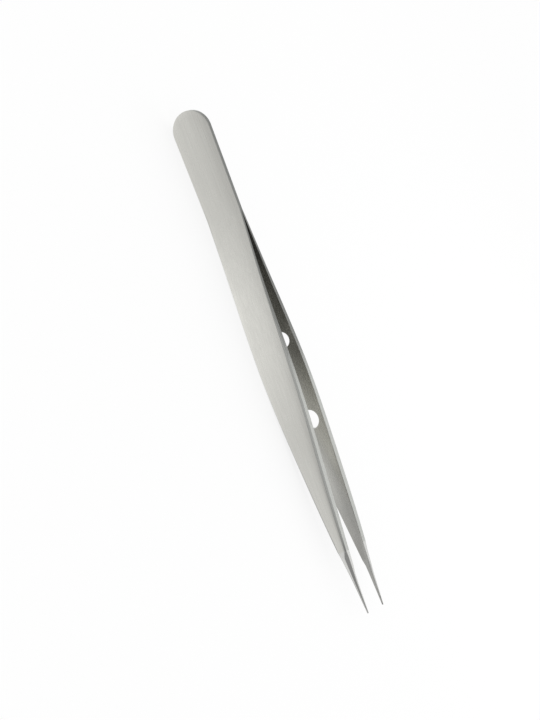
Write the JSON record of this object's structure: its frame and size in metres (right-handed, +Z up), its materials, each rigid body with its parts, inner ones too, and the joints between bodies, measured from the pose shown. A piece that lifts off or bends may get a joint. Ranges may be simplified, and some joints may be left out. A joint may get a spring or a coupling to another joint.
{
  "type": "pointed tweezers",
  "caption": "Fine pointed steel tweezers: two tapered spring arms welded at a round head, one arm pierced by two round holes.",
  "frame": {"origin": "on the supporting surface, under the middle of the tweezers as they lie on one side edge", "axes": "+X from the round head to the points, Y the way the arms open, with the drilled arm on +Y, and +Z up, across the width"},
  "size_m": [0.12, 0.011, 0.0097],
  "materials": {
    "satin_steel": "satin, brushed along the arms"
  },
  "bodies": {
    "root": {"plain_arm": "satin_steel", "drilled_arm": "satin_steel"}
  },
  "joints": []
}
